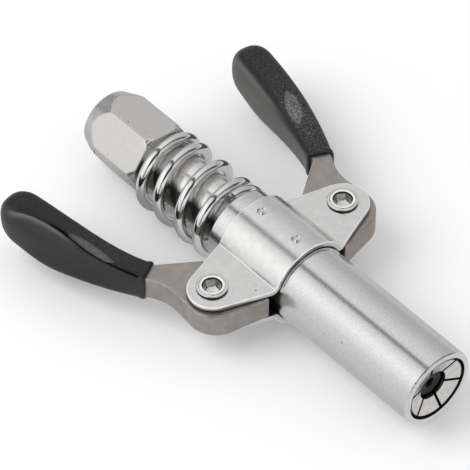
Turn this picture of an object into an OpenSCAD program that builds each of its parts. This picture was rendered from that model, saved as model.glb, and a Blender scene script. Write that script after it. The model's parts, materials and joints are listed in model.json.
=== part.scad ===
// Quick-release grease coupler with two squeeze levers.
// The axis of the coupler is X: the hose screws in at x = 0 and the nose points along +X.
// The levers swing in the XY plane, +Z is the side of the upper yoke plate.

/* [Inlet hexagon] */
// Size across the flats of the spanner hexagon
hex_af = 14; // [13.5:0.5:17]
// Length of the hexagon
hex_len = 16.4; // [15:0.1:24]
// Turn of the hexagon about the axis, from a flat facing up
hex_turn = -7; // [-30:1:30]
// Radius of the turned rear face of the hexagon
hex_rear_r = 6.1; // [5.4:0.1:6.6]
// Length of the long turned taper at the rear of the hexagon
hex_rear_taper = 5.3; // [2:0.1:7]
// Depth of the turned chamfer on the front corners
hex_front_chamfer = 1.5; // [0.5:0.1:3]
// Fall of the front chamfer's radius for each millimetre of its depth
hex_front_fall = 0.5; // [0.3:0.05:1]
// Radius of the female inlet thread, 1/8 inch pipe
inlet_r = 4.3; // [3.8:0.05:4.8]
// Depth of the inlet thread
inlet_len = 9; // [6:0.5:9.5]
// Slope of the drill point at the bottom of the inlet bore
drill_angle = 31; // [25:1:40]

/* [Shank] */
// Radius of the ground shank that the sleeve slides on
shank_r = 5.5; // [5.3:0.05:5.7]
// Radius of the threaded spigot that screws into the hexagon
spigot_r = 4.5; // [3.8:0.1:5]
// Length of the threaded spigot
spigot_len = 5.2; // [3:0.1:5.4]
// Radius of the long grease passage
passage_r = 1.3; // [0.8:0.05:1.4]
// Radius of the valve chamber in the front of the shank
chamber_r = 2.8; // [2.6:0.05:3]
// Radius of the front collar that the jaws hook behind
collar_r = 4.3; // [4.1:0.05:4.4]
// Radius of the neck that the jaw heels sit in
neck_r = 3.75; // [3.5:0.05:3.8]
// Distance from the nose rim back to the front face of the collar
collar_back = 9.8; // [9.4:0.1:11]

/* [Main spring] */
// Length of the fitted spring, hexagon to sleeve
spring_len = 22.1; // [18:0.1:30]
// Wire radius of the main spring
wire_r = 1.13; // [0.8:0.01:1.2]
// Radius of the wire's centre line
coil_r = 7.4; // [7.2:0.05:7.8]
// Distance that the loose spring hangs off the shank's axis
coil_hang = 0.5; // [0:0.05:0.55]
// Direction in which it hangs, from the left lever's side
coil_hang_angle = 210; // [180:5:360]
// Number of open turns between the two closed end turns
open_turns = 2.46; // [1.5:0.02:3]
// Angle at which the rear end of the wire starts
coil_start = -75; // [-180:5:180]

/* [Sleeve] */
// Outer radius of the sleeve
sleeve_r = 8; // [7.8:0.05:8.4]
// Length of the sleeve
sleeve_len = 54.3; // [50:0.1:64]
// Radius of the open mouth in the nose
mouth_r = 6.8; // [6.6:0.05:7]
// Depth of the mouth in front of the locking land
mouth_len = 2; // [1.5:0.1:2.4]
// Radius of the relief bore behind the locking land
relief_r = 6.4; // [6.2:0.05:6.6]
// Length of the rear bore that runs on the shank
guide_len = 27.5; // [22:0.5:29]
// Rounding of the nose rim
rim_round = 0.6; // [0.2:0.05:0.6]

/* [Yoke plates] */
// Thickness of the stamped plates
plate_t = 1.2; // [0.8:0.05:1.3]
// Length of the yoke along the sleeve
plate_len = 16; // [14:0.1:18]
// Distance from the rear edge of the yoke to the pivots
plate_rear = 7.4; // [6.4:0.1:8.4]
// Distance from the axis to the corner where a wing starts to taper
wing_root = 8.3; // [8:0.1:9]
// Radius of the round end of a wing
wing_r = 5; // [4.2:0.1:5.4]
// Distance of the wing's round end ahead of the pivot
wing_ahead = 0.3; // [0:0.05:0.6]
// Radius of the bend between arch and wing
bend_r = 1; // [0.4:0.1:1.4]
// Distance of the rear stake mark behind the pivots
stake_rear = 4.5; // [4:0.1:6]
// Distance of the front stake mark ahead of the pivots
stake_front = 5; // [4:0.1:6.5]
// Radius of a stake mark
stake_r = 1.05; // [0.8:0.05:1.3]
// Width of the stake mark's pressed ring
stake_ring = 0.4; // [0.2:0.05:0.6]
// Depth of a stake mark
stake_depth = 0.3; // [0.1:0.05:0.5]

/* [Rivets] */
// Distance from the rear of the sleeve to the lever pivots
pivot_back = 11; // [10:0.1:13]
// Distance from the axis to a lever pivot
pivot_y = 16.48; // [16:0.02:17]
// Radius of a rivet's shank
rivet_r = 2.3; // [2.1:0.05:2.6]
// Radius of the rolled rivet flange
flange_r = 3.04; // [2.9:0.02:3.6]
// Height of the rivet flange above the plate
flange_h = 0.7; // [0.6:0.05:1]
// Radius of the hollow in the rolled end
rivet_hollow_r = 1.85; // [1.4:0.05:1.9]
// Depth of the hollow in the rolled end
rivet_hollow = 1.6; // [1:0.1:3]

/* [Levers] */
// Thickness of the levers
lever_t = 5.1; // [4:0.1:5.4]
// Distance from the pivot to the centre of the inner nose
nose_arm = 10.2; // [10:0.05:10.3]
// Radius of the inner nose that works in the shank's groove
nose_r = 1.9; // [1.6:0.05:2]
// Swing of a lever from open to fully squeezed
lever_swing = 20; // [16:0.5:22]
// Radius of the lever's round front end
lever_end_r = 5.9; // [5.4:0.1:6]
// Radius of the hollow in the lever's outer edge
lever_waist_r = 10.2; // [8:0.1:12]
// Centre of the lever's round front end, ahead of the pivot
lever_end_ahead = 0.9; // [0.5:0.05:1.2]
// Centre of the lever's round front end, inwards from the pivot
lever_end_in = 0.2; // [0:0.05:0.5]
// Front corner of the lever's inner edge, ahead of the pivot
lever_front_ahead = 8.3; // [7.8:0.05:8.5]
// Front corner of the lever's inner edge, inwards from the pivot
lever_front_in = 6.88; // [6.6:0.02:7]
// Rear corner of the lever's inner edge, behind the pivot
lever_rear_back = 7.3; // [6.8:0.05:7.8]
// Rear corner of the lever's inner edge, inwards from the pivot
lever_rear_in = 3.68; // [3.2:0.02:4]
// Deepest point of the hollow in the outer edge, behind the pivot
lever_waist_back = 4.6; // [4:0.05:5]
// Deepest point of the hollow in the outer edge, outwards from the pivot
lever_waist_out = 5.27; // [5:0.01:5.5]

/* [Grips] */
// Half width of the steel tang inside a grip
tang_w = 2; // [1.6:0.1:2.2]
// Share of the grip's length that the tang reaches
tang_end = 0.82; // [0.6:0.01:0.85]
// Start of the grip behind the pivot
grip_start_back = 11.6; // [11:0.05:12.4]
// Start of the grip outwards from the pivot
grip_start_out = 5.45; // [5:0.05:6]
// Length of the straight pull at the start of the grip's curve
start_pull = 11.5; // [8:0.5:14]
// Length of the straight pull at the end of the grip's curve
end_pull = 10; // [6:0.5:14]
// Reach of a grip behind the pivots
grip_reach = 44.1; // [40:0.1:46]
// Distance of the grip's end from the pivot line, outwards
grip_out = 13.8; // [12:0.1:15]
// Direction of the lever arm where the grip starts, from straight back
grip_angle = 27; // [24:0.5:30]
// Direction of the grip's end, from straight back
grip_end_angle = 10; // [4:0.5:16]
// Half width of the grip at its start
grip_w0 = 2.8; // [2.6:0.05:3.2]
// Half width of the grip where it is widest
grip_w1 = 4.6; // [4.2:0.05:5]
// Half thickness of the grip at its start
grip_h0 = 3.5; // [3.3:0.05:3.9]
// Half thickness of the grip where it is thickest
grip_h1 = 5.3; // [4.6:0.05:5.6]
// Share of the grip's length at which it is widest
widest_at = 0.79; // [0.6:0.01:0.8]
// Share of the grip's length at which its round tip starts
tip_from = 0.815; // [0.81:0.005:0.9]
// Squareness of the grip's section, 2 for an oval
grip_square = 2.4; // [2:0.05:3]
// Height of the raised lip at the start of the grip
grip_lip = 0.3; // [0:0.05:0.5]
// Share of the grip's length that the lip takes
lip_share = 0.05; // [0.02:0.01:0.1]
// Depth of the belly under the middle of the grip
grip_belly = 0.5; // [0:0.05:0.8]
// Rise of the grip's end
grip_rise = 1; // [0:0.05:1.4]
// Share of the grip's length at which the thumb recess sits
thumb_at = 0.34; // [0.3:0.01:0.4]
// Depth of the oval thumb recess
thumb_depth = 0.5; // [0.2:0.05:0.8]
// Radius of the thumb recess along the grip
thumb_long_r = 48; // [30:1:60]
// Radius of the thumb recess across the grip
thumb_wide_r = 9; // [6:0.5:12]

/* [Jaws and seal] */
// Number of degrees from the side of the left lever to the first slit
slit_turn = 42.5; // [0:0.5:60]
// Width of the slits between the jaws
slit_w = 0.4; // [0.2:0.02:0.6]
// Length of a jaw
jaw_len = 19.6; // [19:0.1:20.4]
// Set-back of the jaws from the nose rim
jaw_back = 0.3; // [0.1:0.05:0.5]
// Outer radius of the jaws at the front
jaw_front_r = 6.27; // [6.2:0.01:6.35]
// Length of the jaws' locking cone
cone_len = 4.4; // [3.6:0.1:4.6]
// Rise of the locking cone for each millimetre of its length
cone_rise = 0.14; // [0.13:0.005:0.16]
// Outer radius of the jaws behind the cone
waist_r = 5.3; // [5.1:0.02:5.34]
// Radius of the jaws' gripping lip
lip_r = 3.05; // [2.8:0.05:3.2]
// Length of the gripping lip
lip_len = 0.5; // [0.4:0.05:0.7]
// Radius of the cavity behind the lip
cavity_r = 3.55; // [3.5:0.05:3.7]
// Depth of the dished front face of the jaws
dish_depth = 1; // [0.6:0.05:1.2]
// Chamfer on the outer front edge of the jaws
jaw_edge = 0.27; // [0.2:0.01:0.4]
// Length of a jaw's heel
heel_len = 2.1; // [1.6:0.05:2.4]
// Cord radius of the rubber rings on the jaw heels and on the piston
ring_r = 0.5; // [0.4:0.05:0.55]
// Radius of the rubber seal
seal_r = 3.3; // [3.1:0.05:3.4]
// Length of the rubber seal
seal_len = 4.5; // [3.5:0.1:5]
// Set-back of the seal's face from the nose rim
seal_back = 2.6; // [2.4:0.1:3]
// Radius of the grease hole in the seal
seal_hole_r = 0.95; // [0.6:0.05:1.1]
// Length of the seal's piston
piston_len = 7.5; // [6:0.1:9]

/* [Valve] */
// Radius of the check ball
ball_r = 2; // [1.9:0.05:2.3]
// Distance from the nose rim back to the valve seat
seat_back = 34.8; // [33:0.1:36]
// Distance from the valve seat to the bush between the inner springs
bush_ahead = 8; // [7:0.1:9]
// Length of that bush
bush_len = 1.5; // [1:0.1:2.5]
// Wire radius of the inner springs
inner_wire_r = 0.25; // [0.2:0.02:0.3]
// Open turns of the spring behind the seal's piston
seal_turns = 6; // [4:1:7]
// Open turns of the spring on the check ball
ball_turns = 3; // [2:1:4]
// Radius of the ball spring's coil, as a share of the ball's radius
ball_coil_share = 0.7; // [0.6:0.05:0.8]

/* [Clearances] */
// Running clearance on a radius, sleeve on shank and lever on rivet
run = 0.05; // [0.02:0.01:0.1]
// Side clearance between a lever and each plate
side_gap = 0.1; // [0.05:0.01:0.2]
// Clearance of the lever nose in its groove, each side
groove_gap = 0.1; // [0.05:0.01:0.15]
// Clearance between the lever nose and the floor of the groove
floor_gap = 0.15; // [0.1:0.01:0.2]
// Clearance between a jaw's heel and the shank's neck
heel_gap = 0.2; // [0.15:0.01:0.25]
// Clearance between the jaws' bore and the collar
collar_gap = 0.15; // [0.12:0.01:0.2]
// Clearance between a jaw's heel and the collar that it hooks behind
hook_gap = 0.1; // [0.08:0.01:0.15]
// Clearance between the jaws and the land that locks them
land_gap = 0.06; // [0.04:0.01:0.1]
// Gap between neighbouring pieces that only rest on each other
rest_gap = 0.05; // [0.02:0.01:0.08]
// Free space around pieces that swing
swing_gap = 0.3; // [0.2:0.05:0.4]
// Overlap of a straight edge or bend with the round that it runs into
blend = 0.03; // [0.01:0.01:0.05]

/* [Hidden] */
$fn = 64;

// Steps and sides of the springs, tangs and grips
coil_steps = 26;
coil_sides = 10;
inner_steps = 16;
inner_sides = 6;
tang_steps = 6;
grip_rings = 26;
grip_sides = 24;
// Smallest section of a grip's round tip, as a share of its full section
tip_least = 0.05;
// Overshoot of a cut past the face that it opens
over = 1;
// Number of jaws around the seal
jaw_count = 6;

// Places along the axis
sleeve_x = hex_len + spring_len;
nose_x = sleeve_x + sleeve_len;
pivot_x = sleeve_x + pivot_back;
collar_x1 = nose_x - collar_back;
seat_x = nose_x - seat_back;
jaw_x1 = nose_x - jaw_back;
jaw_x0 = jaw_x1 - jaw_len;
heel_x1 = jaw_x0 + heel_len;
heel_mid = jaw_x0 + heel_len / 2;
seal_x1 = nose_x - seal_back;
seal_x0 = seal_x1 - seal_len;
piston_x0 = seal_x0 - piston_len;
bush_x0 = seat_x + bush_ahead;
bush_x1 = bush_x0 + bush_len;

// Lever nose at rest: half the swing behind the line from pivot to axis
nose_at = [-nose_arm * sin(lever_swing / 2), -nose_arm * cos(lever_swing / 2)];
groove_x = pivot_x + nose_at[0];
groove_w = 2 * (nose_r + groove_gap);
groove_r = pivot_y - nose_arm - nose_r - floor_gap;
window_len = 2 * (nose_arm * sin(lever_swing / 2) + nose_r + swing_gap);
wing_z = lever_t / 2 + side_gap;
plate_top = wing_z + plate_t;
arch_r = sleeve_r + plate_t;

// Jaw profile
jaw_bore_r = collar_r + collar_gap;
heel_r = neck_r + heel_gap;
cone_x0 = jaw_x1 - cone_len;
cone_r0 = jaw_front_r - (cone_len - jaw_edge) * cone_rise;
lip_x1 = jaw_x1 - dish_depth;
ring_floor_r = waist_r - ring_r;
sector = 360 / jaw_count;

// Seal and valve
spout_r = 2 * seal_hole_r;
spout_x1 = seal_x0 + seal_len / 2;
piston_ring_x = seal_x0 - piston_len / 2;
ball_x = seat_x - passage_r + sqrt(2) * (ball_r + rest_gap);

// Grip centre line: a cubic curve in the lever's plane, seen from the pivot
grip_start = [-grip_start_back, grip_start_out];
grip_end = [-grip_reach, grip_out];
pull_in = grip_start + start_pull * [-cos(grip_angle), sin(grip_angle)];
pull_out = grip_end + end_pull * [cos(grip_end_angle), -sin(grip_end_angle)];

function curve_point(t) =
    pow(1 - t, 3) * grip_start + 3 * t * pow(1 - t, 2) * pull_in
    + 3 * t * t * (1 - t) * pull_out + pow(t, 3) * grip_end;
function curve_slope(t) =
    3 * pow(1 - t, 2) * (pull_in - grip_start) + 6 * t * (1 - t) * (pull_out - pull_in)
    + 3 * t * t * (grip_end - pull_out);
// Unit vector that points outwards, square to the curve
function curve_side(t) = let (d = curve_slope(t)) [d[1], -d[0]] / norm(d);

// Soft swelling from start to widest and a round closed tip
function swell(t) = sin(90 * min(1, t / widest_at));
function tip(t) = let (u = max(0, (t - tip_from) / (1 - tip_from))) max(tip_least, sqrt(1 - u * u));
function lip_bulge(t) = t < lip_share ? grip_lip : 0;
function grip_w(t) = (grip_w0 + (grip_w1 - grip_w0) * swell(t) + lip_bulge(t)) * tip(t);
function grip_h(t) = (grip_h0 + (grip_h1 - grip_h0) * swell(t) + lip_bulge(t)) * tip(t);
// Height of the grip's middle: a belly, then a rise towards the end
function grip_z(t) = grip_rise * t * t - grip_belly * sin(180 * t);
// Stations close up towards the round tip
function station(i) = sin(90 * i / (grip_rings - 1));
function rounded(v) = sign(v) * pow(abs(v), 2 / grip_square);
function grip_point(t, a) = let (
        c = curve_point(t),
        n = curve_side(t),
        w = grip_w(t) * rounded(cos(a)),
        h = grip_h(t) * rounded(sin(a)) + grip_z(t)
    ) [c[0] + w * n[0], c[1] + w * n[1], h];

// Faces of a closed tube made of rings of points
function tube_faces(rings, sides) = concat(
    [[for (j = [sides - 1:-1:0]) j]],
    [for (i = [0:rings - 2], j = [0:sides - 1], k = [0, 1])
        let (n = (j + 1) % sides, a = i * sides, b = a + sides)
        k == 0 ? [a + j, a + n, b + n] : [a + j, b + n, b + j]],
    [[for (j = [0:sides - 1]) (rings - 1) * sides + j]]);

// Tangent point from p on a circle, on the side given by s
function tangent(p, centre, r, s) = let (
        d = centre - p,
        length = sqrt(d * d - r * r),
        a = atan2(d[1], d[0]) + s * asin(r / norm(d))
    ) p + length * [cos(a), sin(a)];

// Solids on the axis
module on_axis(x) {
    translate([x, 0, 0]) rotate([0, 90, 0]) children();
}

module rod(x0, x1, r) {
    on_axis(x0) cylinder(r = r, h = x1 - x0);
}

module cone(x0, x1, r0, r1) {
    on_axis(x0) cylinder(r1 = r0, r2 = r1, h = x1 - x0);
}

module ring(x, centre_r, r) {
    on_axis(x) rotate_extrude() translate([centre_r, 0]) circle(r);
}

// Compression spring with a closed turn at each end
module coil(x0, x1, centre_r, r, turns, start, per_turn, sides) {
    closed = 2 * r + rest_gap;
    pitch = (x1 - x0 - 2 * r - 2 * closed) / turns;
    total = turns + 2;
    rings = ceil(total * per_turn) + 1;
    points = [for (i = [0:rings - 1], j = [0:sides - 1]) let (
            t = total * i / (rings - 1),
            x = x0 + r + closed * (min(t, 1) + max(0, t - turns - 1))
                + pitch * min(max(0, t - 1), turns),
            a = start + 360 * t,
            b = 360 * j / sides,
            m = centre_r + r * cos(b)
        ) [x + r * sin(b), m * cos(a), m * sin(a)]];
    polyhedron(points, tube_faces(rings, sides));
}

// What stands on the left of the axis, or its mirror image on the right
module on_side(s) {
    if (s > 0) children();
    else mirror([0, 1, 0]) children();
}

module at_pivot() {
    translate([pivot_x, pivot_y, 0]) children();
}

// Inlet hexagon: a bar turned to a long taper at the rear and a chamfer at the front
module hex_adapter() {
    corner_r = hex_af / 2 / cos(30);
    wide_r = corner_r + over;
    rear_fall = (corner_r - hex_rear_r) / hex_rear_taper;
    front_r = corner_r - hex_front_chamfer * hex_front_fall;
    socket_x = hex_len - spigot_len;
    drill_len = (inlet_r - passage_r) * tan(drill_angle);
    color("#c9c7c4") difference() {
        intersection() {
            on_axis(0) rotate(30 + hex_turn) cylinder(r = corner_r, h = hex_len, $fn = 6);
            on_axis(0) rotate_extrude() polygon([
                [0, 0],
                [hex_rear_r, 0],
                [wide_r, (wide_r - hex_rear_r) / rear_fall],
                [wide_r, hex_len - (wide_r - front_r) / hex_front_fall],
                [front_r, hex_len],
                [0, hex_len]
            ]);
        }
        rod(-over, inlet_len, inlet_r);
        cone(inlet_len, inlet_len + drill_len, inlet_r, passage_r);
        rod(0, hex_len, passage_r);
        rod(socket_x, hex_len + over, spigot_r);
    }
}

// Shank: spigot, ground barrel with the lever groove, neck and collar for the jaws
module shank() {
    color("#b9b6b2") difference() {
        union() {
            rod(hex_len - spigot_len, hex_len, spigot_r);
            rod(hex_len, jaw_x0 - swing_gap, shank_r);
            rod(jaw_x0 - swing_gap - over, collar_x1, neck_r);
            rod(heel_x1 + hook_gap, collar_x1, collar_r);
        }
        on_axis(groove_x - groove_w / 2) difference() {
            cylinder(r = shank_r + over, h = groove_w);
            cylinder(r = groove_r, h = groove_w);
        }
        rod(0, nose_x, passage_r);
        cone(seat_x, seat_x + chamber_r - passage_r, passage_r, chamber_r);
        rod(seat_x + chamber_r - passage_r, nose_x, chamber_r);
    }
}

module main_spring() {
    hang = coil_hang * [0, cos(coil_hang_angle), sin(coil_hang_angle)];
    color("#d8d8d8") translate(hang) coil(
        hex_len + rest_gap / 2, sleeve_x - rest_gap / 2, coil_r, wire_r,
        open_turns, coil_start, coil_steps, coil_sides);
}

// Sleeve: guide bore on the shank, relief, locking land and open mouth, with a window for each nose
module outer_sleeve() {
    land_x1 = sleeve_len - mouth_len;
    land_x0 = cone_x0 - sleeve_x;
    land_r0 = cone_r0 + land_gap;
    land_r1 = land_r0 + (land_x1 - land_x0) * cone_rise;
    bevel = relief_r - land_r0;
    color("#cfcfcf") difference() {
        on_axis(sleeve_x) rotate_extrude() difference() {
            union() {
                square([sleeve_r, sleeve_len - rim_round]);
                square([sleeve_r - rim_round, sleeve_len]);
                translate([sleeve_r - rim_round, sleeve_len - rim_round]) circle(rim_round);
            }
            polygon([
                [0, -over],
                [shank_r + run, -over],
                [shank_r + run, guide_len],
                [relief_r, guide_len],
                [relief_r, land_x0 - bevel],
                [land_r0, land_x0],
                [land_r1, land_x1],
                [mouth_r, land_x1],
                [mouth_r, sleeve_len + over],
                [0, sleeve_len + over]
            ]);
        }
        translate([pivot_x - window_len / 2, -sleeve_r - over, -lever_t / 2 - swing_gap])
            cube([window_len, 2 * (sleeve_r + over), lever_t + 2 * swing_gap]);
    }
}

// Section of a yoke plate across the axis: an arch over the sleeve with a wing on each side
module plate_section() {
    wing_end = pivot_y + wing_r + over;
    difference() {
        union() {
            intersection() {
                circle(arch_r);
                translate([-arch_r, wing_z]) square([2 * arch_r, arch_r]);
            }
            translate([-wing_end, wing_z]) square([2 * wing_end, plate_t]);
        }
        circle(sleeve_r);
    }
}

// Section of the bend between arch and wing, hollow on its upper side
module bend_section() {
    bend_z = plate_top + bend_r;
    bend_y = sqrt(pow(arch_r + bend_r, 2) - bend_z * bend_z);
    touch = arch_r / (arch_r + bend_r);
    difference() {
        polygon([
            [bend_y * touch, bend_z * touch],
            [bend_y * touch, wing_z + blend],
            [bend_y, wing_z + blend],
            [bend_y, bend_z]
        ]);
        translate([bend_y, bend_z]) circle(bend_r + blend);
    }
}

// Outline of a wing from above: two straight edges that run into a round end about the rivet
module wing_outline() {
    rear = [-plate_rear, wing_root];
    front = [plate_len - plate_rear, wing_root];
    middle = [wing_ahead, pivot_y];
    rear_touch = tangent(rear, middle, wing_r - blend, 1);
    front_touch = tangent(front, middle, wing_r - blend, -1);
    rear_end = rear + 2 * (rear_touch - rear);
    front_end = front + 2 * (front_touch - front);
    difference() {
        polygon([[rear[0], 0], rear, rear_end, front_end, front, [front[0], 0]]);
        difference() {
            polygon([
                rear_touch - [over, 0],
                rear_end - [over, 0],
                front_end + [over, 0],
                front_touch + [over, 0]
            ]);
            translate(middle) circle(wing_r);
        }
    }
}

module yoke_plate() {
    color("#c6c5c4") difference() {
        intersection() {
            translate([pivot_x - plate_rear, 0, 0]) rotate([90, 0, 90]) {
                linear_extrude(plate_len) plate_section();
                linear_extrude(plate_len) bend_section();
                linear_extrude(plate_len) mirror([1, 0]) bend_section();
            }
            translate([pivot_x, 0, 0]) for (s = [0, 1]) mirror([0, s, 0])
                linear_extrude(arch_r + over) wing_outline();
        }
        for (s = [-1, 1]) translate([pivot_x, s * pivot_y, 0]) cylinder(r = rivet_r, h = arch_r);
        for (x = [-stake_rear, stake_front])
            translate([pivot_x + x, 0, arch_r - stake_depth]) difference() {
                cylinder(r = stake_r, h = over);
                cylinder(r = stake_r - stake_ring, h = over);
            }
    }
}

module upper_plate() {
    yoke_plate();
}

module lower_plate() {
    mirror([0, 0, 1]) yoke_plate();
}

// Semi-tubular rivet: a low round head below and a rolled flange with a hollow above
module rivet() {
    roll = flange_h / 2;
    color("#dededc") at_pivot() difference() {
        rotate_extrude() union() {
            translate([0, -plate_top - flange_h]) square([rivet_r, 2 * (plate_top + flange_h) - roll]);
            for (s = [-1, 1]) {
                translate([flange_r - roll, s * (plate_top + roll)]) circle(roll);
                translate([0, s * (plate_top + roll) - roll]) square([flange_r - roll, flange_h]);
            }
        }
        translate([0, 0, plate_top + flange_h - rivet_hollow])
            cylinder(r = rivet_hollow_r, h = rivet_hollow + over);
    }
}

module left_rivet() {
    on_side(1) rivet();
}

module right_rivet() {
    on_side(-1) rivet();
}

// Steel tang along the grip's centre line
module tang_outline() {
    steps = [for (i = [0:tang_steps]) tang_end * i / tang_steps];
    polygon(concat(
        [for (t = steps) curve_point(t) + tang_w * curve_side(t)],
        [for (i = [tang_steps:-1:0]) curve_point(steps[i]) - tang_w * curve_side(steps[i])]));
}

// Outline of a lever seen from the pivot: round end, inner nose, hollow outer edge, tang
module lever_outline() {
    end_at = [lever_end_ahead, -lever_end_in];
    front = [lever_front_ahead, -lever_front_in];
    rear = [-lever_rear_back, -lever_rear_in];
    waist = [-lever_waist_back, lever_waist_out];
    arm_in = curve_point(0) - tang_w * curve_side(0);
    arm_out = curve_point(0) + tang_w * curve_side(0);
    difference() {
        union() {
            translate(end_at) circle(lever_end_r);
            polygon([
                front,
                tangent(front, end_at, lever_end_r - blend, -1),
                end_at + [0, lever_end_r - blend],
                waist,
                arm_out,
                arm_in,
                rear,
                [nose_at[0] - nose_r, front[1]],
                [nose_at[0] + nose_r, front[1]]
            ]);
        }
        translate(waist + [0, lever_waist_r]) circle(lever_waist_r);
    }
    tang_outline();
    translate(nose_at) circle(nose_r);
    rotate(-lever_swing / 2) translate([-nose_r, -nose_arm])
        square([2 * nose_r, nose_arm - 2 * rivet_r]);
}

module lever() {
    color("#8f8780") at_pivot() translate([0, 0, -lever_t / 2]) linear_extrude(lever_t) difference() {
        lever_outline();
        circle(rivet_r + run);
    }
}

module left_lever() {
    on_side(1) lever();
}

module right_lever() {
    on_side(-1) lever();
}

// Dipped grip: a soft rounded loft along the tang with an oval thumb recess on both faces
module grip() {
    thumb_c = curve_point(thumb_at);
    thumb_d = curve_slope(thumb_at);
    thumb_z = grip_z(thumb_at);
    lift = grip_h(thumb_at) - thumb_depth + thumb_long_r;
    color("#333333") at_pivot() difference() {
        polyhedron(
            [for (i = [0:grip_rings - 1], j = [0:grip_sides - 1])
                grip_point(station(i), 360 * j / grip_sides)],
            tube_faces(grip_rings, grip_sides));
        translate([0, 0, -lever_t / 2]) linear_extrude(lever_t) tang_outline();
        for (s = [-1, 1]) translate([thumb_c[0], thumb_c[1], thumb_z + s * lift])
            rotate([90, 0, atan2(thumb_d[1], thumb_d[0])])
                rotate_extrude() translate([thumb_long_r - thumb_wide_r, 0]) circle(thumb_wide_r);
    }
}

module left_grip() {
    on_side(1) grip();
}

module right_grip() {
    on_side(-1) grip();
}

// One of six jaws: heel for the neck, waist, locking cone, gripping lip and dished face
module jaw(number) {
    first = slit_turn + 90 + sector * (number - 1);
    color("#d2d0cc") on_axis(0) rotate(first) difference() {
        rotate_extrude(angle = sector) difference() {
            polygon([
                [heel_r, jaw_x0],
                [heel_r, heel_x1],
                [jaw_bore_r, heel_x1],
                [jaw_bore_r, collar_x1 + swing_gap],
                [cavity_r, collar_x1 + swing_gap],
                [cavity_r, lip_x1 - lip_len - (cavity_r - lip_r)],
                [lip_r, lip_x1 - lip_len],
                [lip_r, lip_x1],
                [jaw_front_r - jaw_edge, jaw_x1],
                [jaw_front_r, jaw_x1 - jaw_edge],
                [cone_r0, cone_x0],
                [waist_r, cone_x0 - (cone_r0 - waist_r)],
                [waist_r, jaw_x0]
            ]);
            translate([ring_floor_r, heel_mid - ring_r - run])
                square([ring_r + over, 2 * (ring_r + run)]);
        }
        for (turn = [0, sector]) rotate(turn) translate([0, -slit_w / 2, 0])
            cube([jaw_front_r + over, slit_w, nose_x]);
    }
}

module jaw_ring() {
    color("#2c2c2c") ring(heel_mid, ring_floor_r + run + ring_r, ring_r);
}

// Rubber seal with a grease hole, pushed on the piston's spigot
module nozzle_seal() {
    color("#262626") difference() {
        rod(seal_x0, seal_x1, seal_r);
        rod(seal_x0 - over, spout_x1, spout_r);
        rod(seal_x0, seal_x1 + over, seal_hole_r);
    }
}

module seal_piston() {
    color("#c8c2b0") difference() {
        union() {
            rod(piston_x0, seal_x0, chamber_r - run);
            rod(seal_x0 - over, spout_x1, spout_r);
        }
        rod(piston_x0 - over, seal_x1, seal_hole_r);
        on_axis(piston_ring_x - ring_r - run) difference() {
            cylinder(r = chamber_r, h = 2 * (ring_r + run));
            cylinder(r = chamber_r - 2 * ring_r - run, h = 2 * (ring_r + run));
        }
    }
}

module piston_ring() {
    color("#2c2c2c") ring(piston_ring_x, chamber_r - run / 2 - ring_r, ring_r);
}

// Spring that pushes the seal's piston forward
module seal_spring() {
    centre_r = chamber_r - 3 * inner_wire_r;
    color("#b8b8b8") coil(
        bush_x1 + rest_gap / 2, piston_x0 - rest_gap / 2, centre_r, inner_wire_r,
        seal_turns, 0, inner_steps, inner_sides);
}

module spring_seat() {
    color("#b5a36a") difference() {
        rod(bush_x0, bush_x1, chamber_r);
        rod(bush_x0 - over, bush_x1 + over, passage_r);
    }
}

// Spring that holds the check ball on its seat
module ball_spring() {
    centre_r = ball_r * ball_coil_share;
    reach = sqrt(pow(ball_r + inner_wire_r + rest_gap, 2) - centre_r * centre_r);
    color("#b8b8b8") coil(
        ball_x + reach - inner_wire_r, bush_x0 - rest_gap / 2, centre_r, inner_wire_r,
        ball_turns, 0, inner_steps, inner_sides);
}

module check_ball() {
    color("#e2e2e2") translate([ball_x, 0, 0]) sphere(ball_r);
}

hex_adapter();
shank();
main_spring();
outer_sleeve();
upper_plate();
lower_plate();
left_rivet();
right_rivet();
left_lever();
right_lever();
left_grip();
right_grip();
jaw(1);  // jaw_1
jaw(2);  // jaw_2
jaw(3);  // jaw_3
jaw(4);  // jaw_4
jaw(5);  // jaw_5
jaw(6);  // jaw_6
jaw_ring();
nozzle_seal();
seal_piston();
piston_ring();
seal_spring();
spring_seat();
ball_spring();
check_ball();
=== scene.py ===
"""Looks of a quick-release grease coupler: shapes, finishes, light and camera on its solids."""

import json
import math

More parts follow.
